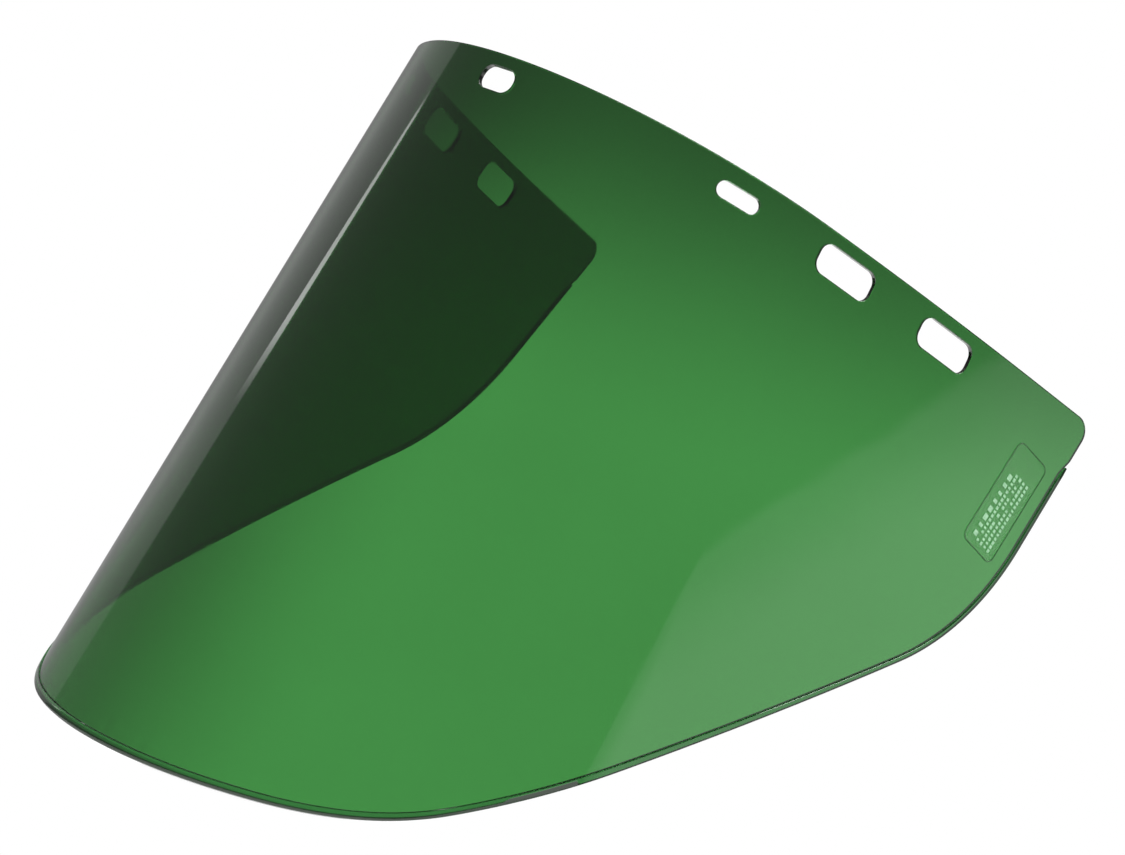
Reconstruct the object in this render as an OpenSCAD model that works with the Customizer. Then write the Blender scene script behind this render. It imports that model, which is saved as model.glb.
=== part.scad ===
// Window of a face shield: one transparent sheet, bent round the face, that snaps onto
// the buttons of a headgear through seven slots.
//
// Worn position: +Z up, +X to the wearer's left, the wearer looks along -Y.
// The origin is the centre of the centre slot, on the outer face of the sheet.

/* [Sheet] */
// Thickness of the sheet
sheet_t = 1.6; // [1.0:0.1:2.4]
// Radius of the front at the top edge, outer face
front_r = 86; // [78:1:96]
// Lean of the front cone: it makes the wings splay out and back towards the bottom
front_lean = 6.2; // [3:0.1:9]
// Half of the angle that the front turns through
front_turn = 74.5; // [60:0.5:78]
// Lean of the cheek cones, which have a far larger radius than the front
cheek_lean = 37.5; // [25:0.5:45]
// Angle that each cheek cone turns through
cheek_turn = 10.5; // [6:0.5:12]

/* [Outline, seen from the side] */
// Height of the front, from the top edge to the chin
chin_drop = 229; // [205:1:240]
// Depth from the front to the rear top corners
wing_depth = 181.5; // [165:0.5:195]
// Height of the rear edge, down to the bend of the jaw line
rear_drop = 73; // [60:1:85]
// Lean of the rear edge from upright
rear_edge_lean = 9; // [0:0.5:14]
// Slope of the jaw line
jaw_slope = 45; // [42:0.5:48]
// Slope of the outline where it crosses the front line
chin_slope = 26.5; // [20:0.5:32]
// Radius of the rear top corners
corner_r = 5; // [2:0.5:10]
// Radius of the bend between rear edge and jaw line
jaw_bend_r = 88; // [50:1:100]
// Radius of the bend between jaw line and chin
chin_bend_r = 120; // [60:5:140]

/* [Slots] */
// Middle of the slots below the top edge, centre slot and narrow slots
front_slot_drop = 7.7; // [7:0.1:10]
// Middle of the wide slots below the top edge
wide_slot_drop = 8.4; // [7.5:0.1:11]
// Distance round the sheet from the front line to the narrow slots
narrow_slot_at = 83; // [75:1:90]
// Distance round the sheet to the first pair of wide slots
inner_slot_at = 123.4; // [116:0.2:130]
// Distance round the sheet to the second pair of wide slots
outer_slot_at = 165.4; // [158:0.2:172]
// Length of the centre slot
centre_slot_l = 13; // [12:0.5:20]
// Height of the centre slot
centre_slot_h = 7.3; // [6.9:0.1:9]
// Length of the narrow slots
narrow_slot_l = 14; // [12:0.5:18]
// Height of the narrow slots
narrow_slot_h = 5.1; // [4.5:0.1:7]
// Length of the wide slots
wide_slot_l = 21.5; // [16:0.5:24]
// Height of the wide slots
wide_slot_h = 9.2; // [8:0.1:11]
// Corner radius of the centre and wide slots
slot_corner_r = 3.4; // [1.5:0.1:3.4]

/* [Rim bead] */
// How far the bead stands out from the outer face
bead_out = 0.4; // [0.2:0.1:0.8]
// Width of the bead at the chin
bead_chin_w = 2.8; // [2:0.1:4]
// Width of the bead at the bend of the jaw line
bead_jaw_w = 1.6; // [1.2:0.1:3]
// Width of the bead on the rear edge
bead_rear_w = 1.3; // [1:0.1:3]
// Distance from the top edge to where the bead begins
bead_start = 13; // [10:0.5:25]

/* [Marking label] */
// Height of the label
label_h = 35; // [20:1:40]
// Width of the label
label_w = 15; // [10:0.5:20]
// Thickness of the label
label_t = 0.3; // [0.2:0.05:0.5]
// Corner radius of the label
label_corner_r = 2.5; // [1:0.5:5]
// Distance round the sheet from the front line to the middle of the label
label_at = 210; // [190:1:215]
// Middle of the label below the top edge
label_drop = 35.5; // [25:0.5:40]

/* [Hidden] */
sheet_green = [0.16, 0.42, 0.2];
bead_green = [0.1, 0.3, 0.14];
label_green = [0.42, 0.6, 0.4];
top_z = front_slot_drop;                              // height of the top edge
apex_down = front_r / sin(front_lean);                // from the cones' shared apex down to the front's top
first_mm = apex_down - front_r / 4;                   // where the uncut strips begin, down from the apex
last_mm = apex_down + 1.3 * chin_drop;                // and where they end
blank_w = 4 * wing_depth;                             // more than the whole sheet, for cutters
front_past = 40;                                      // how far the side outline runs past the front
front_steps = 26;                                     // flats in each half of the front
cheek_steps = 4;                                      // flats in each cheek
wing_span = 6;                                        // degrees of flat pattern that hold a whole wing
arc_step = 2;                                         // degrees between points of an outline's arc
cutter_l = 12;                                        // length of a slot's cutter
front_end = front_turn * sin(front_lean);             // flat-pattern angle where the front ends
cheek_end = front_end + cheek_turn * sin(cheek_lean); // and where the cheek ends
narrow_at = narrow_slot_at / apex_down * 180 / PI;    // flat-pattern angles of the slots and the label
inner_at = inner_slot_at / apex_down * 180 / PI;
outer_at = outer_slot_at / apex_down * 180 / PI;
label_angle = label_at / apex_down * 180 / PI;

// ---- axes, as matrices with the three directions in their columns

function turn_x(a) = [[1, 0, 0], [0, cos(a), -sin(a)], [0, sin(a), cos(a)]];
function turn_y(a) = [[cos(a), 0, sin(a)], [0, 1, 0], [-sin(a), 0, cos(a)]];
function turn_z(a) = [[cos(a), -sin(a), 0], [sin(a), cos(a), 0], [0, 0, 1]];

// The cones share one apex. Each frame's z axis is its cone's own axis; the wing's frame is its
// first straight line's: x out of the sheet, y round the sheet, z up the line.
front_axes = turn_x(front_lean) * turn_z(-90);
cheek_axes = front_axes * turn_z(front_turn) * turn_y(cheek_lean - front_lean);
wing_axes = cheek_axes * turn_z(cheek_turn) * turn_y(-cheek_lean);

// Axes of the straight line at one angle of the flat pattern
function line_axes(angle) =
    angle < front_end ? front_axes * turn_z(angle / sin(front_lean)) * turn_y(-front_lean)
    : angle < cheek_end ? cheek_axes * turn_z((angle - front_end) / sin(cheek_lean)) * turn_y(-cheek_lean)
    : wing_axes * turn_x(angle - cheek_end);

// Moves to the apex and turns to the given axes
module from_apex(axes)
    translate([0, 0, top_z + apex_down])
        multmatrix([for (row = axes) concat(row, [0])]) children();

// Moves onto the outer face: y runs level round the sheet, z up the sheet, x out of it
module on_sheet(angle, drop) {
    axes = line_axes(angle);
    rise = axes[2][1];
    climb = axes[2][2];
    from_apex(axes) translate([0, 0, -apex_down / climb])
        rotate([-atan2(rise, climb), 0, 0]) translate([0, 0, -drop]) children();
}

// ---- the bent sheet: a front cone, two cheek cones and two flat wings, tangent to each other

// Flat-pattern angles of the sheet's straight lines, from the front line to past the rear edge
half_lines = [for (i = [0 : front_steps]) front_end * i / front_steps,
              for (i = [1 : cheek_steps]) front_end + (cheek_end - front_end) * i / cheek_steps,
              cheek_end + wing_span];
lines = concat([for (i = [len(half_lines) - 1 : -1 : 1]) -half_lines[i]], half_lines);

// Point on the line at a flat-pattern angle, the given distances down from the apex and out from
// the outer face. Negative angles lie on the wearer's right.
function sheet_point(angle, down, out) =
    let (p = line_axes(abs(angle)) * [out, 0, -down])
    [sign(angle) * p.x, p.y, p.z + top_z + apex_down];

// The uncut sheet between two heights over its outer face
module bent_blank(low, high) {
    corners = [[first_mm, low], [last_mm, low], [last_mm, high], [first_mm, high]];
    n = len(lines);
    polyhedron(
        [for (angle = lines, corner = corners) sheet_point(angle, corner[0], corner[1])],
        concat([[3, 2, 1, 0], [for (k = [0 : 3]) 4 * (n - 1) + k]],
               [for (i = [0 : n - 2], k = [0 : 3])
                   let (next = (k + 1) % 4) [4 * i + k, 4 * i + next, 4 * i + 4 + next, 4 * i + 4 + k]]));
}

// ---- side outline

// Unit vector from a to b
function toward(a, b) = (b - a) / norm(b - a);

// The angle from one direction to another, between -180 and 180
function swing(from, to) = (to - from + 540) % 360 - 180;

// Points of the arc that rounds corner b between a and c
function rounded(a, b, c, r) =
    let (u = toward(b, a), v = toward(b, c), half = acos(u * v) / 2,
         middle = b + (u + v) / norm(u + v) * r / sin(half),
         start = b + u * r / tan(half) - middle, end = b + v * r / tan(half) - middle,
         from = atan2(start.y, start.x), turn = swing(from, atan2(end.y, end.x)),
         steps = ceil(abs(turn) / arc_step))
    [for (i = [0 : steps]) middle + r * [cos(from + turn * i / steps), sin(from + turn * i / steps)]];

// Where two sloping lines meet, each given by a point and its slope
function crossing(p, p_slope, q, q_slope) =
    let (gap = q - p, along = (gap.x * sin(q_slope) - gap.y * cos(q_slope)) / sin(q_slope - p_slope))
    p + along * [cos(p_slope), sin(p_slope)];

rear_top = [wing_depth, top_z];
jaw_corner = [wing_depth - rear_drop * tan(rear_edge_lean), top_z - rear_drop];
chin_corner = crossing(jaw_corner, jaw_slope, [0, top_z - chin_drop], chin_slope);

// Side outline: x is the depth behind the front, y the height over the origin. Its three lower
// sides can be moved in by the bead's width at the rear edge, at the jaw bend and at the chin.
function side_outline(rear_in = 0, jaw_in = 0, chin_in = 0) =
    let (rear = rear_top - [rear_in, 0],
         jaw = jaw_corner + [-rear_in, jaw_in],
         chin = chin_corner + [0, chin_in],
         low = chin - (front_past + chin.x) * [1, tan(chin_slope)])
    concat([[-front_past, top_z]], rounded([-front_past, top_z], rear, jaw, corner_r),
           rounded(rear, jaw, chin, jaw_bend_r), rounded(jaw, chin, low, chin_bend_r), [low]);

// Outline of the clear sheet: all of the side above the bead's ends, and inside the bead below
module clear_outline() {
    polygon(side_outline(bead_rear_w, bead_jaw_w, bead_chin_w));
    intersection() {
        polygon(side_outline());
        translate([0, top_z - bead_start]) square(wing_depth + 1);
    }
}

// Outline of the bead: the strip of the side that the clear sheet leaves
module bead_outline() difference() {
    intersection() {
        polygon(side_outline());
        translate([-blank_w / 2, top_z - bead_start - blank_w]) square(blank_w);
    }
    polygon(side_outline(bead_rear_w, bead_jaw_w, bead_chin_w));
}

// Prism of an outline, through both wings
module side_prism() rotate([90, 0, 90]) linear_extrude(blank_w, center = true) children();

// ---- slots

// Plate with rounded corners, standing in the y-z plane and centred there
module rounded_plate(l, h, r, thick) rotate([90, 0, 90]) linear_extrude(thick) {
    square([l - 2 * r, h], center = true);
    square([l, h - 2 * r], center = true);
    for (x = [-1, 1], y = [-1, 1]) translate([x * (l / 2 - r), y * (h / 2 - r)]) circle(r, $fn = 48);
}

// Cutter of one slot, centred on the outer face
module slot_cutter(l, h, r) translate([-cutter_l / 2, 0, 0]) rounded_plate(l, h, r, cutter_l);

// Cutters of all seven slots
module slot_cutters() {
    on_sheet(0, front_slot_drop) slot_cutter(centre_slot_l, centre_slot_h, slot_corner_r);
    for (side = [0, 1]) mirror([side, 0, 0]) {
        on_sheet(narrow_at, front_slot_drop)
            slot_cutter(narrow_slot_l, narrow_slot_h, narrow_slot_h / 2 - 0.05);
        for (angle = [inner_at, outer_at])
            on_sheet(angle, wide_slot_drop) slot_cutter(wide_slot_l, wide_slot_h, slot_corner_r);
    }
}

// ---- the pieces

module window_sheet() color(sheet_green) difference() {
    intersection() {
        bent_blank(-sheet_t, 0);
        side_prism() clear_outline();
    }
    slot_cutters();
}

module rim_bead() color(bead_green) intersection() {
    bent_blank(-sheet_t, bead_out);
    side_prism() bead_outline();
}

module marking_label() color(label_green) intersection() {
    bent_blank(0, label_t);
    on_sheet(label_angle, label_drop) rotate([-rear_edge_lean, 0, 0])
        translate([-label_t, 0, 0]) rounded_plate(label_w, label_h, label_corner_r, 3 * label_t);
}

window_sheet();
rim_bead();
marking_label();
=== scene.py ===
# %% [markdown]
# # The window of a face shield
#
# This lesson builds the replaceable window of a face shield: one sheet of clear green
# polycarbonate, bent round the face, with seven slots along the top that snap onto the buttons
# of a headgear. A darker bead runs round its lower edge, and a small frosted marking label sits
# on one wing. The sheet is thin, glossy and see-through, so nearly all of its looks come from an
# exact shape, a true thickness and a studio that is worth reflecting.
#
# The CAD model is loaded first. It is the frame: it says where everything goes, and the Blender
# pieces are made in its coordinates, in metres.

# %% Load the frame
import math

import bpy
from mathutils import Matrix, Vector
from mathutils.geometry import delaunay_2d_cdt


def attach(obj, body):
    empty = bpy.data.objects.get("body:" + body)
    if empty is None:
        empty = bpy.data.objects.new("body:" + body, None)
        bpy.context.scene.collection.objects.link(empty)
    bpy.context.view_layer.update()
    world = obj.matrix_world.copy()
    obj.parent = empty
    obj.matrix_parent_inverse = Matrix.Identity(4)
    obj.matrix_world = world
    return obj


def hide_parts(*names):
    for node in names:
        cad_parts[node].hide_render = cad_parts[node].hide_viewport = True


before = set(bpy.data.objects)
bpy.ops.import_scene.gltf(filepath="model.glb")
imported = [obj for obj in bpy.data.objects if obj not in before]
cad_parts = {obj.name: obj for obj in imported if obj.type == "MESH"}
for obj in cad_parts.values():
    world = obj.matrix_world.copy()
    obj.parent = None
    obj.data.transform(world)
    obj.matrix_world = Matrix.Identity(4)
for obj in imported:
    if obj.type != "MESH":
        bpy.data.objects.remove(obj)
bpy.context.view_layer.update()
MM = 0.001

# %% [markdown]
# ## The bent sheet as a rule
#
# A flat sheet can only be bent along straight lines. Here all those lines run up to one apex,
# high above the forehead: the front is part of a right cone, each cheek is part of a much flatter
# cone, and each wing is plain flat. One angle picks a line and one distance picks a point on it,
# so the whole window can be laid out flat, cut there, and bent afterwards by a formula. That is
# how the real one is made, and it keeps every reflection straight and clean. A subdivided mesh
# would ripple.

# %% Sizes of the bent sheet
THICK = 1.6 * MM
TOP_Z = 7.7 * MM          # height of the top edge over the centre slot
FRONT_R = 86 * MM
FRONT_LEAN, FRONT_TURN = math.radians(6.2), math.radians(74.5)
CHEEK_LEAN, CHEEK_TURN = math.radians(37.5), math.radians(10.5)
APEX_DOWN = FRONT_R / math.sin(FRONT_LEAN)
APEX = Vector((0, 0, TOP_Z + APEX_DOWN))
FRONT_END = FRONT_TURN * math.sin(FRONT_LEAN)
CHEEK_END = FRONT_END + CHEEK_TURN * math.sin(CHEEK_LEAN)


def turn(angle, axis):
    return Matrix.Rotation(angle, 3, axis)


front_axes = turn(FRONT_LEAN, "X") @ turn(-math.pi / 2, "Z")
cheek_axes = front_axes @ turn(FRONT_TURN, "Z") @ turn(CHEEK_LEAN - FRONT_LEAN, "Y")
wing_axes = cheek_axes @ turn(CHEEK_TURN, "Z") @ turn(-CHEEK_LEAN, "Y")


def line_axes(angle):
    """Axes of one straight line of the sheet: out of it, round it and up the line."""
    if angle < FRONT_END:
        return front_axes @ turn(angle / math.sin(FRONT_LEAN), "Z") @ turn(-FRONT_LEAN, "Y")
    if angle < CHEEK_END:
        sweep = (angle - FRONT_END) / math.sin(CHEEK_LEAN)
        return cheek_axes @ turn(sweep, "Z") @ turn(-CHEEK_LEAN, "Y")
    return wing_axes @ turn(angle - CHEEK_END, "X")


def bend(flat, out=0.0):
    """A point of the flat pattern, bent into place, and the sheet's outward normal there."""
    angle, down = math.atan2(flat[0], -flat[1]), math.hypot(flat[0], flat[1])
    axes = line_axes(abs(angle))
    point, normal = APEX + axes @ Vector((out, 0, -down)), axes.col[0].copy()
    if angle < 0:
        point.x, normal.x = -point.x, -normal.x
    return point, normal


def flatten(depth, height):
    """The flat-pattern point on the left half that lands at this depth and height."""
    below = APEX.z - height
    low, high = 0.0, math.radians(22)
    for _ in range(40):
        middle = (low + high) / 2
        up = line_axes(middle).col[2]
        low, high = (middle, high) if up.y * below / up.z > -depth else (low, middle)
    down = below / line_axes(low).col[2].z
    return Vector((down * math.sin(low), -down * math.cos(low)))


print("apex", round(APEX_DOWN / MM), "mm above the brow; flat wings begin",
      round(CHEEK_END * APEX_DOWN / MM), "mm round from the middle")

# %% [markdown]
# ## The outline
#
# Seen from the side, the window has a level top, a nearly upright rear edge, a straight jaw line
# at 45 degrees and a chin that curves under. These corners are rounded with plain arcs in the
# side view, and each point is then sent to the flat pattern.

# %% The side outline and its flat pattern
DEPTH = 181.5 * MM
JAW = Vector((DEPTH - 73 * MM * math.tan(math.radians(9)), TOP_Z - 73 * MM))
JAW_SLOPE, CHIN_SLOPE = math.radians(45), math.radians(26.5)
CHIN_DROP = 229 * MM


def crossing(p, p_slope, q, q_slope):
    gap = q - p
    along = (gap.x * math.sin(q_slope) - gap.y * math.cos(q_slope)) / math.sin(q_slope - p_slope)
    return p + along * Vector((math.cos(p_slope), math.sin(p_slope)))


def rounded(a, b, c, radius, steps):
    """Points of the arc that rounds corner b between a and c."""
    u, v = (a - b).normalized(), (c - b).normalized()
    half = math.acos(u.dot(v)) / 2
    middle = b + (u + v).normalized() * radius / math.sin(half)
    start, end = b + u * radius / math.tan(half) - middle, b + v * radius / math.tan(half) - middle
    sweep = start.angle_signed(end)
    return [middle + Matrix.Rotation(-sweep * i / steps, 2) @ start for i in range(steps + 1)]


def spaced(points, gap):
    """The same path with extra points, so that none are further apart than the gap."""
    out = [points[0]]
    for a, b in zip(points, points[1:]):
        n = max(1, math.ceil((b - a).length / gap))
        out += [a.lerp(b, i / n) for i in range(1, n + 1)]
    return out


def to_middle(start, end, steps):
    """Points that close up towards the middle of the front, where the side view is squeezed."""
    return [end.lerp(start, (i / steps) ** 2) for i in range(steps, -1, -1)]


front_top, front_low = Vector((0, TOP_Z)), Vector((0, TOP_Z - CHIN_DROP))
rear = Vector((DEPTH, TOP_Z))
chin = crossing(JAW, JAW_SLOPE, front_low, CHIN_SLOPE)
past_chin = front_low - 0.5 * (chin - front_low)
corner_arc = rounded(front_top, rear, JAW, 5 * MM, 12)
chin_arc = rounded(JAW, chin, past_chin, 120 * MM, 20)
jaw_run = spaced([corner_arc[-1]] + rounded(rear, JAW, chin, 88 * MM, 24) + chin_arc, 2.5 * MM)
top_run = to_middle(front_top.lerp(corner_arc[0], 0.2), front_top, 30)[::-1]
top_run = [flatten(*p) for p in top_run + spaced([top_run[-1], corner_arc[0]], 2.5 * MM)[1:]]
edge_run = [flatten(*p) for p in corner_arc + jaw_run[1:] + to_middle(chin_arc[-1], front_low, 14)[1:]]
flat_x, flat_y = [p.x for p in edge_run], [p.y for p in top_run + edge_run]
print("outline points on one half:", len(top_run) + len(edge_run))
print("the flat pattern is", round(2 * max(flat_x) / MM), "mm across and",
      round((max(flat_y) - min(flat_y)) / MM), "mm from top to bottom")

# %% [markdown]
# ## Where the bead runs
#
# The bead begins a little below each rear top corner and gets wider on its way to the chin. Its
# width is measured square to the edge in the flat pattern. The clear sheet stops where the bead
# starts, so the two meet edge to edge and never share the same space.

# %% Width of the bead along the edge
BEAD_START = 13 * MM
REAR_W, CHIN_W = 1.3 * MM, 2.8 * MM
ENDING = 5 * MM           # length over which the bead fades in


def inward(points, i):
    """Direction into the sheet, square to the edge that runs from the rear to the chin."""
    ahead, behind = points[min(i + 1, len(points) - 1)], points[max(i - 1, 0)]
    along = (ahead - behind).normalized()
    return Vector((along.y, -along.x)) if i < len(points) - 1 else Vector((0, 1))


edge_length = [0.0]
for before, after in zip(edge_run, edge_run[1:]):
    edge_length.append(edge_length[-1] + (after - before).length)
start_length = next(l for l, p in zip(edge_length, edge_run) if bend(p)[0].z < TOP_Z - BEAD_START)
bead_w = []
for length in edge_length:
    ease = min(max((length - start_length) / ENDING, 0), 1)
    share = min(max((length - start_length) / (edge_length[-1] - start_length), 0), 1)
    bead_w.append(ease * ease * (3 - 2 * ease) * (REAR_W + (CHIN_W - REAR_W) * share ** 1.5))
clear_edge = [p + inward(edge_run, i) * w for i, (p, w) in enumerate(zip(edge_run, bead_w))]
print("edge length of one half", round(edge_length[-1] / MM), "mm; bead width at the chin",
      round(bead_w[-1] / MM, 2), "mm")


def whole_loop(edge):
    """Closed loop of the flat pattern: along the top, down the left edge and back up the right."""
    half = top_run[1:] + edge[1:]
    other = [Vector((-p.x, p.y)) for p in half[:-1]]
    return [top_run[0]] + half + other[::-1]


# %% [markdown]
# ## The slots
#
# Seven slots lie along the top: one in the middle with large corners, a narrow one with round
# ends on each side of it, and two taller ones on each wing. Each is a rounded rectangle in the
# flat pattern, turned so that it runs level with the top edge.

# %% Slot outlines in the flat pattern
SLOTS = [  # distance round from the middle, drop below the top edge, length, height, corner radius
    (0.0, 7.7, 13.0, 7.3, 3.4), (83.0, 7.7, 14.0, 5.1, 2.5),
    (123.4, 8.4, 21.5, 9.2, 3.4), (165.4, 8.4, 21.5, 9.2, 3.4)]


def level_frame(round_mm, drop_mm):
    """A place in the flat pattern, and the directions there that run level and up the sheet."""
    angle = round_mm * MM / APEX_DOWN
    up = line_axes(angle).col
    tilt = -math.atan2(up[1].z, up[2].z)
    outwards = Vector((math.sin(angle), -math.cos(angle)))
    level = Matrix.Rotation(angle + tilt, 2) @ Vector((1, 0))
    rise = Vector((-level.y, level.x))
    return outwards * APEX_DOWN / up[2].z - rise * drop_mm * MM, level, rise


def rounded_rectangle(length, height, radius, steps=8):
    """Points of a rounded rectangle about the origin, anticlockwise."""
    points = []
    for k, (sx, sy) in enumerate([(1, 1), (-1, 1), (-1, -1), (1, -1)]):
        for i in range(steps + 1):
            a = math.pi / 2 * (k + i / steps)
            points.append((sx * (length / 2 - radius) + radius * math.cos(a),
                           sy * (height / 2 - radius) + radius * math.sin(a)))
    return points


slot_loops = []
for round_mm, drop_mm, length, height, radius in SLOTS:
    centre, level, rise = level_frame(round_mm, drop_mm)
    loop = [centre + (x * level + y * rise) * MM for x, y in rounded_rectangle(length, height, radius)]
    slot_loops.append(loop)
    if round_mm:
        slot_loops.append([Vector((-p.x, p.y)) for p in reversed(loop)])
print("slots:", len(slot_loops))

# %% [markdown]
# ## From the flat pattern to a solid sheet
#
# The pattern is divided by the sheet's own straight lines, 2.5 mm apart, so that no facet ever
# crosses a bend. A constrained triangulation fits these lines to the outline and the slots. Each
# point is then bent twice, once for the outer face and once for the inner one, and every edge
# gets a narrow rounding, because moulded edges are never knife sharp and this is what catches
# the light. The normals come from the formula, not from the facets, so the faces shade as true
# cones.

# %% Helpers for loops in the flat pattern
def away_from(before, point, after):
    """Direction out of the sheet at a point of a loop that has the sheet on its left."""
    along = (after - point).normalized() + (point - before).normalized()
    along.normalize()
    return Vector((along.y, -along.x))


def area_of(loop):
    """Signed area, which is positive for an anticlockwise loop."""
    return sum(a.x * b.y - b.x * a.y for a, b in zip(loop, loop[1:] + loop[:1])) / 2


def inside(point, loop):
    """Is the point inside this closed loop?"""
    hit = False
    for a, b in zip(loop, loop[1:] + loop[:1]):
        if (a.y > point.y) != (b.y > point.y):
            hit ^= point.x < (b.x - a.x) * (point.y - a.y) / (b.y - a.y) + a.x
    return hit


def open_edges(triangles):
    """The edges that only one triangle has, each as its start and its end."""
    rim = {}
    for t in triangles:
        for a, b in ((t[0], t[1]), (t[1], t[2]), (t[2], t[0])):
            if (b, a) in rim:
                del rim[(b, a)]
            else:
                rim[(a, b)] = True
    return dict(rim.keys())


print("area of the clear pattern", round(abs(area_of(whole_loop(clear_edge))) / MM ** 2), "mm2")

# %% Triangles that follow the bend
LINE_GAP = 2.5 * MM       # distance between two straight lines, measured at the top edge
LINE_PARTS = 24           # pieces that each straight line is divided into


def bend_lines(outline):
    """The straight lines of the sheet that cross an outline, each as a row of points."""
    angles = [math.atan2(p.x, -p.y) for p in outline]
    downs = [p.length for p in outline]
    spread, reach = max(angles) - min(angles), max(downs) - min(downs)
    count = math.ceil(spread * APEX_DOWN / LINE_GAP)
    lines = []
    for i in range(1, count):
        angle = min(angles) + spread * i / count
        way = Vector((math.sin(angle), -math.cos(angle)))
        places = [min(downs) + reach * (k - 1) / (LINE_PARTS - 2) for k in range(LINE_PARTS + 1)]
        lines.append([way * place for place in places])
    return lines


def fill(loops):
    """Points and triangles that fill the first loop, leave the others open and follow the bend."""
    flat, edges = [], []
    for loop in loops:
        first = len(flat)
        flat += loop
        edges += [(first + i, first + (i + 1) % len(loop)) for i in range(len(loop))]
    for line in bend_lines(loops[0]):
        first = len(flat)
        flat += line
        edges += [(first + k, first + k + 1) for k in range(len(line) - 1)]
    made = delaunay_2d_cdt(flat, edges, [list(range(len(loops[0])))], 1, 1e-7)
    spots, triangles = made[0], made[2]

    def is_open(tri):
        middle = (spots[tri[0]] + spots[tri[1]] + spots[tri[2]]) / 3
        return any(inside(middle, hole) for hole in loops[1:])

    return spots, [t for t in triangles if not is_open(t)]


# %% A plate with rounded edges
EDGE_ROUND = 0.25 * MM


def mesh_object(name, points, faces, normals=None):
    """A smooth mesh in the scene, with its own normals if they are given."""
    mesh = bpy.data.meshes.new(name)
    mesh.from_pydata([tuple(p) for p in points], [], faces)
    mesh.validate()
    mesh.shade_smooth()
    if normals:
        mesh.normals_split_custom_set_from_vertices([tuple(n) for n in normals])
    made = bpy.data.objects.new(name, mesh)
    bpy.context.scene.collection.objects.link(made)
    return made


def bent_plate(name, outline, holes, low, high, edge_round=EDGE_ROUND):
    """A plate with rounded edges, cut from the flat pattern and bent, between two heights."""
    outline = outline if area_of(outline) > 0 else outline[::-1]
    loops = [outline] + [h if area_of(h) < 0 else h[::-1] for h in holes]
    inset = []
    for loop in loops:
        neighbours = zip(loop[-1:] + loop[:-1], loop, loop[1:] + loop[:1])
        inset.append([p - away_from(before, p, after) * edge_round for before, p, after in neighbours])
    spots, triangles = fill(inset)
    used = sorted({v for t in triangles for v in t})
    place = {v: i for i, v in enumerate(used)}
    points, normals, n = [], [], len(used)
    for height, sign in ((high, 1), (low, -1)):
        for v in used:
            point, normal = bend(spots[v], height)
            points.append(point)
            normals.append(sign * normal)
    faces = [[place[v] for v in t] for t in triangles]
    faces += [[place[v] + n for v in reversed(t)] for t in triangles]
    # round every edge with two more rings of points, between the outer and the inner face
    follow = open_edges(triangles)
    back = {b: a for a, b in follow.items()}
    ring = {}
    for v in follow:
        side = away_from(spots[back[v]], spots[v], spots[follow[v]])
        edge_spot = spots[v] + side * edge_round
        ring[v] = len(points)
        for height in (high - edge_round, low + edge_round):
            point = bend(edge_spot, height)[0]
            points.append(point)
            normals.append((bend(edge_spot + side * MM, height)[0] - point).normalized())
    for a, b in follow.items():
        faces.append([place[a], ring[a], ring[b], place[b]])
        faces.append([ring[a], ring[a] + 1, ring[b] + 1, ring[b]])
        faces.append([ring[a] + 1, place[a] + n, place[b] + n, ring[b] + 1])
    return mesh_object(name, points, faces, normals)


clear_sheet = bent_plate("clear_sheet", whole_loop(clear_edge), slot_loops, -THICK, 0.0)
print("clear sheet:", len(clear_sheet.data.polygons), "faces")

# %% [markdown]
# ## The bead
#
# The bead is a long narrow ridge with a flat top and small rounded shoulders. One section is
# carried along the edge, scaled to the bead's width at each point, and bent with the sheet. It
# begins and ends in a soft taper. The shoulders stay smooth and the walls stay crisp, because
# edges sharper than 30 degrees are marked as sharp.

# %% The rim bead
BEAD_OUT = 0.4 * MM       # how far the bead stands out of the sheet
THINNEST = 0.05 * MM      # the section begins where the bead is this wide
GAP = 0.02 * MM           # keeps pieces that lie side by side apart
SHARP_ANGLE = math.radians(30)
SECTION = [  # share of the width in from the edge, share of the way from the inner face to the top
    (1.0, 0.0), (1.0, 0.90), (0.98, 0.97), (0.93, 1.0), (0.10, 1.0), (0.03, 0.96), (0.0, 0.86),
    (0.0, 0.14), (0.03, 0.04), (0.10, 0.0)]
rails = [(p, inward(edge_run, i), w) for i, (p, w) in enumerate(zip(edge_run, bead_w)) if w > THINNEST]
rails += [(Vector((-p.x, p.y)), Vector((-way.x, way.y)), w) for p, way, w in rails[-2::-1]]
points, faces = [], []
for p, way, w in rails:
    lift = BEAD_OUT * min(1, w / REAR_W)
    for across, up in SECTION:
        points.append(bend(p + way * max(across * w - GAP, 0), up * (THICK + lift) - THICK)[0])
n = len(SECTION)
for start in range(0, (len(rails) - 1) * n, n):
    faces += [[start + k, start + n + k, start + n + (k + 1) % n, start + (k + 1) % n] for k in range(n)]
faces += [list(range(n)), [(len(rails) - 1) * n + k for k in range(n)][::-1]]
edge_bead = mesh_object("edge_bead", points, faces)
edge_bead.data.set_sharp_from_angle(angle=SHARP_ANGLE)
print("bead:", len(rails), "sections")

# %% [markdown]
# ## The marking label
#
# The wing on the wearer's left carries a small patch with a fine outline and lines of frosted
# print that read up its long side. Here the patch is a thin clear film with rounded corners, laid
# on the outer face by the same bending formula. The print is one row of large bars and four rows
# of small ones, so nothing can be read. Geometry Nodes lay out the rows: one bar is instanced on a
# grid of points, and seeded random numbers vary its length and leave some places empty, as print
# does between words.

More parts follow.
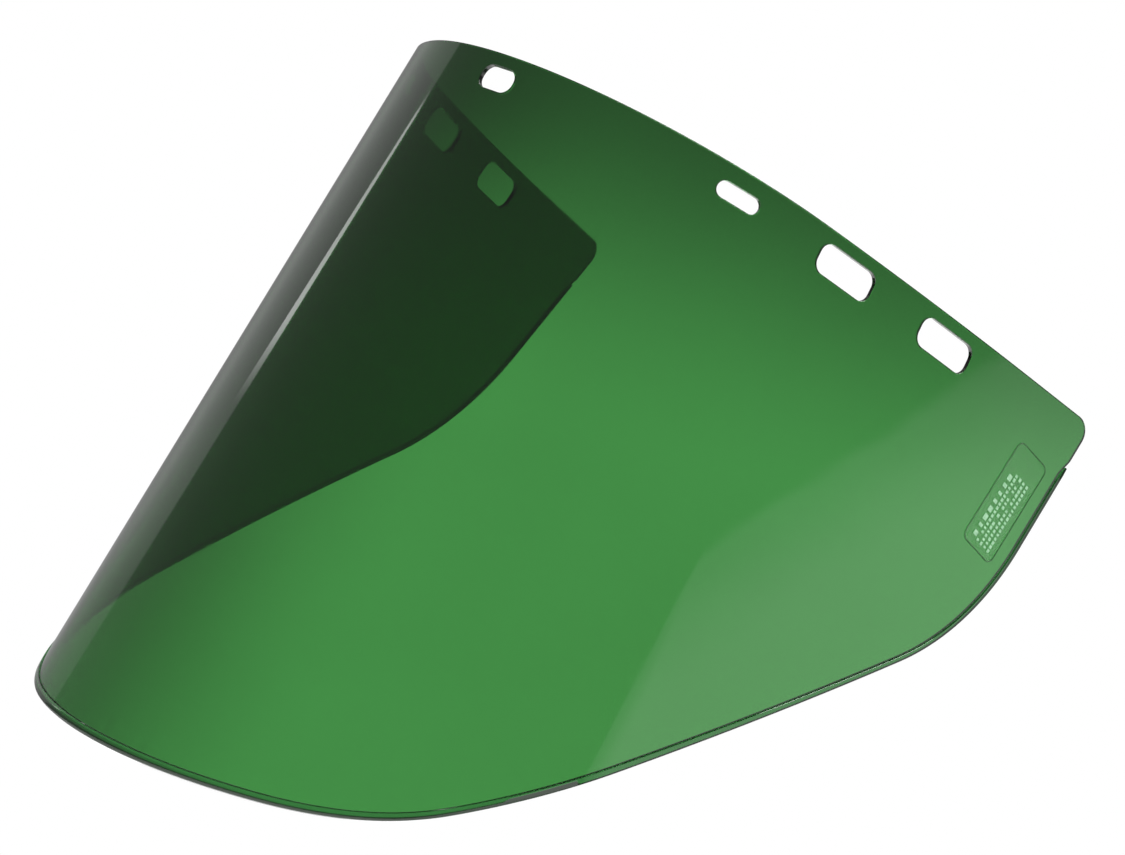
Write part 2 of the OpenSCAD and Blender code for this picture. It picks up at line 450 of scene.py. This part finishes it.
# %% The label film and its outline
LABEL_W, LABEL_H, LABEL_CORNER = 15.0, 35.0, 2.5
LABEL_ROUND, LABEL_DROP = 210.0, 35.5
OUTLINE_W = 0.25
FILM_TOP, FILM_ROUND, OUTLINE_THICK = 0.12 * MM, 0.04 * MM, 0.12 * MM
label_centre, level, rise = level_frame(LABEL_ROUND, LABEL_DROP)
tilt_back = Matrix.Rotation(-math.radians(9), 2)
label_x, label_y = tilt_back @ level, tilt_back @ rise


def label_loop(inset):
    """The label's rounded outline in the flat pattern, drawn this far in from its edge."""
    outline = rounded_rectangle(LABEL_W - 2 * inset, LABEL_H - 2 * inset, LABEL_CORNER - inset)
    return [label_centre + (x * label_x + y * label_y) * MM for x, y in outline]


label_film = bent_plate("label_film", label_loop(0.0), [], GAP, FILM_TOP, edge_round=FILM_ROUND)
label_line = bent_plate("label_line", label_loop(0.0), [label_loop(OUTLINE_W)],
                        FILM_TOP + GAP, FILM_TOP + GAP + OUTLINE_THICK, edge_round=FILM_ROUND)
print("label film:", len(label_film.data.polygons), "faces")


# %% Rows of print as Geometry Nodes
def rows_tree():
    """Geometry Nodes: rows of small bars of uneven length, with gaps here and there."""
    tree = bpy.data.node_groups.new("print_rows", "GeometryNodeTree")
    sizes = {"Bars": ("NodeSocketInt", 20), "Rows": ("NodeSocketInt", 4),
             "Length": ("NodeSocketFloat", 0.025), "Depth": ("NodeSocketFloat", 0.006),
             "Bar Length": ("NodeSocketFloat", 0.001), "Bar Height": ("NodeSocketFloat", 0.001),
             "Bar Thickness": ("NodeSocketFloat", 0.0001), "Filled": ("NodeSocketFloat", 0.85),
             "Seed": ("NodeSocketInt", 4), "Finish": ("NodeSocketMaterial", None)}
    for label, (kind, value) in sizes.items():
        made = tree.interface.new_socket(label, in_out="INPUT", socket_type=kind)
        if value is not None:
            made.default_value = value
    tree.interface.new_socket("Geometry", in_out="OUTPUT", socket_type="NodeSocketGeometry")
    given = tree.nodes.new("NodeGroupInput").outputs

    def step(kind, data_type=None, **values):
        """One node. A value's name is its socket's name, or i and the socket's place."""
        made = tree.nodes.new(kind)
        if data_type:
            made.data_type = data_type
        for key, value in values.items():
            socket = made.inputs[int(key[1:])] if key[1:].isdigit() else made.inputs[key.replace("_", " ")]
            if isinstance(value, bpy.types.NodeSocket):
                tree.links.new(value, socket)
            else:
                socket.default_value = value
        return made.outputs

    grid = step("GeometryNodeMeshGrid", Size_X=given["Length"], Size_Y=given["Depth"],
                Vertices_X=given["Bars"], Vertices_Y=given["Rows"])[0]
    size = step("ShaderNodeCombineXYZ", X=given["Bar Length"], Y=given["Bar Height"],
                Z=given["Bar Thickness"])[0]
    bar = step("GeometryNodeMeshCube", Size=size)[0]
    share = step("FunctionNodeRandomValue", "FLOAT", i2=0.5, i3=1.0, Seed=given["Seed"])[1]
    filled = step("FunctionNodeRandomValue", "BOOLEAN", i6=given["Filled"], Seed=given["Seed"])[3]
    scale = step("ShaderNodeCombineXYZ", X=share, Y=1.0, Z=1.0)[0]
    rows = step("GeometryNodeInstanceOnPoints", Points=grid, Selection=filled, Instance=bar, Scale=scale)[0]
    solid = step("GeometryNodeRealizeInstances", Geometry=rows)[0]
    done = step("GeometryNodeSetMaterial", Geometry=solid, Material=given["Finish"])[0]
    tree.links.new(done, tree.nodes.new("NodeGroupOutput").inputs[0])
    return tree


print_rows = rows_tree()
print("print rows:", len(print_rows.nodes), "nodes")

# %% Rows of print as a plain mesh
PRINT_HEIGHT = 0.2 * MM   # middle of the bars above the sheet


def rows_on_label(name, middle, finish, inputs):
    """Rows of print, centred on a place on the label and reading up its long side."""
    host = bpy.data.objects.new(name + "_host", bpy.data.meshes.new(name + "_host"))
    bpy.context.scene.collection.objects.link(host)
    rows = host.modifiers.new("rows", "NODES")
    rows.node_group = print_rows
    values = dict(inputs, Finish=finish)
    for item in print_rows.interface.items_tree:
        if item.in_out == "INPUT" and item.name in values:
            rows[item.identifier] = values[item.name]
    bpy.context.view_layer.update()
    mesh = bpy.data.meshes.new_from_object(host.evaluated_get(bpy.context.evaluated_depsgraph_get()))
    mesh.name = name
    bpy.data.objects.remove(host)
    place, normal = bend(label_centre + (middle[0] * label_x + middle[1] * label_y) * MM, PRINT_HEIGHT)
    reading = (bend(label_centre + label_y * MM)[0] - bend(label_centre)[0]).normalized()
    axes = Matrix((reading, normal.cross(reading), normal)).transposed()
    mesh.transform(Matrix.Translation(place) @ axes.to_4x4())
    made = bpy.data.objects.new(name, mesh)
    bpy.context.scene.collection.objects.link(made)
    return made


# %% [markdown]
# ## Writing shader maths as Python
#
# Materials are node trees. To keep them readable, one small class wraps a node's output, so that
# a sum of wrapped values adds its Math nodes by itself. One method makes every other node.

# %% The shader helper
class Value:
    """One number that varies over a surface."""

    def __init__(self, recipe, socket):
        self.recipe, self.socket = recipe, socket

    def _math(self, operation, a, b):
        return self.recipe.node("ShaderNodeMath", {"operation": operation}, {0: a, 1: b})

    def __add__(self, other):
        return self._math("ADD", self, other)

    def __radd__(self, other):
        return self._math("ADD", other, self)

    def __sub__(self, other):
        return self._math("SUBTRACT", self, other)

    def __rsub__(self, other):
        return self._math("SUBTRACT", other, self)

    def __mul__(self, other):
        return self._math("MULTIPLY", self, other)

    def __rmul__(self, other):
        return self._math("MULTIPLY", other, self)

    def above(self, other):
        """One where the value is above the other, else zero."""
        return self._math("GREATER_THAN", self, other)


class Recipe:
    """A node tree that is being written."""

    def __init__(self, tree):
        self.tree = tree
        tree.nodes.clear()

    def node(self, kind, settings=None, values=None, output=0):
        """A new node. The settings are set first, then the values and links of its sockets."""
        made = self.tree.nodes.new(kind)
        for key, setting in (settings or {}).items():
            setattr(made, key, setting)
        for key, value in (values or {}).items():
            socket = made.inputs[key]
            if isinstance(value, Value):
                self.tree.links.new(value.socket, socket)
            else:
                socket.default_value = value
        return Value(self, made.outputs[output]) if len(made.outputs) else None

    def between(self, value, low, high):
        """The value's place between two limits, from zero to one and eased at both ends."""
        return self.node("ShaderNodeMapRange", {"interpolation_type": "SMOOTHSTEP"},
                         {"Value": value, "From Min": low, "From Max": high})

    def blend(self, share, first, second):
        """A mix of two colours."""
        return self.node("ShaderNodeMix", {"data_type": "RGBA"}, {0: share, 6: first, 7: second}, output=2)


def material(name, seen):
    """A new material with its recipe. seen is its colour in the solid view."""
    made = bpy.data.materials.new(name)
    made.use_nodes = True
    made.diffuse_color = seen
    return made, Recipe(made.node_tree)


def finish_with(recipe, values):
    """End a material's recipe in one Principled shader."""
    shader = recipe.node("ShaderNodeBsdfPrincipled", None, values)
    recipe.node("ShaderNodeOutputMaterial", None, {"Surface": shader})


print("helper ready: values add their own Math nodes")

# %% [markdown]
# ## Green polycarbonate
#
# The sheet is clear plastic dyed a deep green. It passes about a tenth of the green light and a
# fiftieth of the red and blue, so it only glows in front of something bright, and a second layer
# behind it looks nearly black. A glass shader with a true thickness does this on its own: its
# colour is what the light keeps on its way in and out. Handling leaves faint smears and a few
# fine scratches, so the roughness is not even, and a moulded sheet is never quite flat, so a very
# weak bump stirs the reflections. The bead is the same plastic, only thicker, so its tint is
# deeper. The label's film is wetted onto the sheet, so it bends light far less than a free
# surface would.

# %% The clear plastics
def clear_plastic(name, thin_tint, deep_tint, haze, ripple, ior=1.58):
    """Clear dyed plastic. Haze is its least roughness and ripple is the strength of its bump."""
    made, r = material(name, thin_tint)
    place = r.node("ShaderNodeTexCoord", output="Object")
    clouds = r.node("ShaderNodeTexNoise", None,
                    {"Vector": place, "Scale": 9.0, "Detail": 3.0, "Roughness": 0.5})
    tint = r.blend(r.between(clouds, 0.3, 0.7), thin_tint, deep_tint)
    smears = r.node("ShaderNodeTexNoise", None,
                    {"Vector": place, "Scale": 34.0, "Detail": 5.0, "Distortion": 1.4})
    stretched = r.node("ShaderNodeMapping", None,
                       {"Vector": place, "Rotation": (0.3, 0.5, 0.4), "Scale": (900.0, 900.0, 14.0)})
    lines = r.node("ShaderNodeTexNoise", None, {"Vector": stretched, "Scale": 1.0, "Detail": 0.0})
    scratches = r.between(lines, 0.80, 0.86) * r.between(smears, 0.55, 0.65)
    roughness = haze + r.between(smears, 0.45, 0.75) * 0.03 + scratches * 0.04
    waves = r.node("ShaderNodeTexNoise", None, {"Vector": place, "Scale": 22.0, "Detail": 1.0})
    bump = r.node("ShaderNodeBump", None, {"Strength": ripple, "Distance": 0.001, "Height": waves})
    finish_with(r, {"Base Color": tint, "Roughness": roughness, "Normal": bump,
                    "Transmission Weight": 1.0, "IOR": ior})
    return made


green_sheet = clear_plastic("green_sheet", (0.0182, 0.100, 0.0202, 1), (0.0168, 0.093, 0.0184, 1),
                            haze=0.012, ripple=0.05)
green_bead = clear_plastic("green_bead", (0.0120, 0.070, 0.0150, 1), (0.0105, 0.062, 0.0130, 1),
                           haze=0.02, ripple=0.05)
label_clear = clear_plastic("label_clear", (0.95, 0.98, 0.95, 1), (0.92, 0.97, 0.92, 1),
                            haze=0.012, ripple=0.05, ior=1.15)
print("clear plastics:", green_sheet.name, green_bead.name, label_clear.name)

# %% [markdown]
# ## Frosted print
#
# The print scatters light where the clear plastic passes it, so it shows pale on the green. It
# is a rough, pale plastic with fine grain.

# %% The frosted finish
frosted, r = material("frosted_print", (0.45, 0.62, 0.42, 1))
place = r.node("ShaderNodeTexCoord", output="Object")
grain = r.node("ShaderNodeTexNoise", None, {"Vector": place, "Scale": 2600.0, "Detail": 2.0})
pale = r.blend(r.between(grain, 0.35, 0.65), (0.15, 0.30, 0.17, 1), (0.26, 0.44, 0.28, 1))
grit = r.node("ShaderNodeBump", None, {"Strength": 0.3, "Distance": 0.0001, "Height": grain})
finish_with(r, {"Base Color": pale, "Roughness": 0.55 + grain * 0.2, "Normal": grit})
print("frosted finish:", frosted.name)

# %% The printed rows
BAR_THICK = 0.08 * MM
large_print = rows_on_label("large_print", (-3.6, -3.6), frosted, {
    "Bars": 8, "Rows": 1, "Length": 20.0 * MM, "Depth": 1.0 * MM, "Bar Length": 2.0 * MM,
    "Bar Height": 1.7 * MM, "Bar Thickness": BAR_THICK, "Filled": 1.0, "Seed": 9})
small_print = rows_on_label("small_print", (1.3, -3.2), frosted, {
    "Bars": 17, "Rows": 4, "Length": 23.0 * MM, "Depth": 5.7 * MM, "Bar Length": 1.25 * MM,
    "Bar Height": 1.0 * MM, "Bar Thickness": BAR_THICK, "Filled": 0.86, "Seed": 4})
print("bars of print:", (len(large_print.data.polygons) + len(small_print.data.polygons)) // 6)

# %% [markdown]
# ## Hanging the pieces on the frame
#
# Each piece rides on the model's one body and is given its material, and the CAD nodes that the
# pieces replace are hidden. The printed rows already have their material, from the last node of
# their tree.

# %% Materials and frame
for piece, finish in ((clear_sheet, green_sheet), (edge_bead, green_bead),
                      (label_film, label_clear), (label_line, green_bead)):
    piece.data.materials.clear()
    piece.data.materials.append(finish)
for piece, slot in ((clear_sheet, "green_sheet"), (edge_bead, "green_bead"),
                    (label_film, "frosted_label"), (label_line, "frosted_label"),
                    (small_print, "frosted_label"), (large_print, "frosted_label")):
    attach(piece, "root")
    print(piece.name, "rides on root, slot", slot)
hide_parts("window_sheet")
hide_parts("rim_bead")
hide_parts("marking_label")

# %% [markdown]
# ## The studio
#
# Clear plastic shows what is around it, so the room is part of the material. It is painted on the
# world by direction, and a ray is given what a real one would find. The camera's own rays see
# plain white past the object. The polished faces mirror a dark room with white cloths in it. What
# shows straight through the sheet is a bright backcloth, several times brighter than white paper,
# because the green is as deep as a welder's.

# %% A world to paint on
world = bpy.data.worlds.new("studio")
bpy.context.scene.world = world
world.use_nodes = True
room = Recipe(world.node_tree)
look = room.node("ShaderNodeTexCoord", output="Generated")
split = room.node("ShaderNodeSeparateXYZ", None, {"Vector": look})
x, y, z = (Value(room, split.socket.node.outputs[name]) for name in "XYZ")
print("the room is painted by direction: x to the wearer's left, y to the back and z up")

# %% [markdown]
# A cloth hangs on each side. On the wearer's left its top edge slants, and shows as a soft line
# across the flat wing. On the wearer's right it reaches higher, but ends in an upright edge that
# leans, and this makes the pale band down the turned-away side of the front. A narrow lamp stands
# just inside that edge and draws a thin highlight along it. A cloth is never evenly lit, so each
# one fades.

# %% What the polished faces mirror
ROOM_GLOW, CLOTH_GLOW, STRIP_GLOW = 0.20, 0.90, 2.2
over_left = z - (0.147 * x + 0.332 * y + 0.037)     # height over the slanting top edge
left_cloth = room.between(over_left, 0.002, -0.003) * (0.72 + room.between(over_left, 0.0, -0.03) * 0.95) \
    * (1.0 - room.between(z, 0.155, 0.190) * 0.4)

low_down = room.between(z, 0.12, 0.08)
right_base = 0.36 - low_down * 0.18
sheen = 0.12 + room.between(0.622 + 10.8 * (0.543 * x + 0.643 * y - 0.543 * z), 0.0, 1.25) * 0.96
right_level = right_base + room.between(y, 0.30, 0.55) * (sheen * (1.0 + low_down) - right_base)
past_edge = y - (0.035 - 1.3 * z)                   # distance past the leaning upright edge
over_right = z - (0.20 + (0.66 - y) * 0.4)
right_cloth = right_level * room.between(past_edge, -0.015, 0.015) * room.between(over_right, 0.028, -0.028)

past_strip = past_edge - (0.012 + 1.1 * (0.182 - z))
strip = room.between(x, -0.70, -0.75) * room.between(past_edge, -0.012, 0.0) \
    * room.between(past_strip, 0.012, 0.0) * room.between(z, 0.125, 0.145) * room.between(z, 0.184, 0.178)

on_right = room.between(x, 0.05, -0.05)
cloths = left_cloth + on_right * (right_cloth - left_cloth)
mirrored = ROOM_GLOW + cloths * CLOTH_GLOW + strip * STRIP_GLOW
print("mirrored: a room of", ROOM_GLOW, "with cloths of about", ROOM_GLOW + CLOTH_GLOW)

# %% What is seen through the sheet
BACKCLOTH_GLOW = 2.90
aside = 0.731 * x + 0.682 * y                       # to the right of the middle of the view
top_fade = 0.25 + room.between(z - 0.23 * aside, 0.205, 0.145) * 0.75
side_fade = 1.0 - room.between(z, 0.0, 0.05) * room.between(aside, -0.02, -0.07) * 0.55
behind = BACKCLOTH_GLOW * top_fade * side_fade
print("backcloth:", BACKCLOTH_GLOW, "times white, fading to a quarter at its top")

# %% Which ray sees what
SOFT_FILL = 0.6           # more light for the matte surfaces
through = room.node("ShaderNodeLightPath", output="Is Transmission Ray")
bounced = room.node("ShaderNodeLightPath", output="Glossy Depth").above(0.5)
direct = room.node("ShaderNodeLightPath", output="Is Camera Ray")
softly = room.node("ShaderNodeLightPath", output="Is Diffuse Ray")
glow = mirrored + softly * SOFT_FILL + through * (1.0 - bounced) * (behind - mirrored)
strength = glow + direct * (1.0 - glow)
paint = room.node("ShaderNodeBackground", None, {"Color": (1, 1, 1, 1), "Strength": strength})
room.node("ShaderNodeOutputWorld", None, {"Surface": paint})
bpy.context.scene.view_settings.view_transform = "Standard"
print("world:", len(world.node_tree.nodes), "nodes")

# %% [markdown]
# ## Floor and light
#
# A pale matte floor and one large soft light overhead are enough for the views from above. The
# floor lies well below the window, as if the window hung on a headgear.

# %% The floor and the overhead light
FLOOR_Z, FLOOR_SIZE = -0.46, 8.0
LAMP_SIZE, LAMP_POWER, LAMP_PLACE = 2.4, 170, (0.2, 0.3, 2.6)
half = FLOOR_SIZE / 2
corners = [(-half, -half, FLOOR_Z), (half, -half, FLOOR_Z), (half, half, FLOOR_Z), (-half, half, FLOOR_Z)]
floor = mesh_object("floor", corners, [(0, 1, 2, 3)])
pale_floor, r = material("pale_floor", (0.9, 0.9, 0.9, 1))
place = r.node("ShaderNodeTexCoord", output="Object")
mottle = r.node("ShaderNodeTexNoise", None, {"Vector": place, "Scale": 3.0})
finish_with(r, {"Base Color": r.blend(mottle, (0.86, 0.86, 0.86, 1), (0.90, 0.90, 0.90, 1)),
                "Roughness": 0.8})
floor.data.materials.append(pale_floor)

overhead = bpy.data.lights.new("overhead", "AREA")
overhead.shape, overhead.size, overhead.energy = "SQUARE", LAMP_SIZE, LAMP_POWER
lamp = bpy.data.objects.new("overhead", overhead)
lamp.location = LAMP_PLACE
bpy.context.scene.collection.objects.link(lamp)
print("floor", FLOOR_SIZE, "m wide; overhead light", LAMP_SIZE, "m wide,", LAMP_POWER, "W")

# %% [markdown]
# ## The camera
#
# A long lens from nearly two metres away, a little below the window, on the wearer's left. The
# camera is rolled, so the window seems to lean to one side.

# %% Camera
TARGET = Vector((0, 51.6 * MM, -69.7 * MM))
AZIMUTH, ELEVATION, ROLL = math.radians(44.359), math.radians(-8.370), math.radians(29.443)
DISTANCE, LENS = 1.8121, 199.43
PAN, TILT = math.radians(0.774), math.radians(0.5635)   # the window sits a little left and high
back = Vector((math.sin(AZIMUTH) * math.cos(ELEVATION), -math.cos(AZIMUTH) * math.cos(ELEVATION),
               math.sin(ELEVATION)))
level_right = Vector((math.cos(AZIMUTH), math.sin(AZIMUTH), 0))
level_up = back.cross(level_right)
right = math.cos(ROLL) * level_right + math.sin(ROLL) * level_up
up = math.cos(ROLL) * level_up - math.sin(ROLL) * level_right
aim = Vector((0, 0, -1)).rotation_difference(Vector((-math.tan(PAN), math.tan(TILT), -1))).to_matrix()
axes = Matrix((right, up, back)).transposed() @ aim.transposed()
camera = bpy.data.objects.new("camera", bpy.data.cameras.new("camera"))
camera.data.lens = LENS
camera.matrix_world = Matrix.Translation(TARGET + DISTANCE * back) @ axes.to_4x4()
bpy.context.scene.collection.objects.link(camera)
bpy.context.scene.camera = camera
print("camera", round(DISTANCE, 2), "m away, lens", round(LENS), "mm")
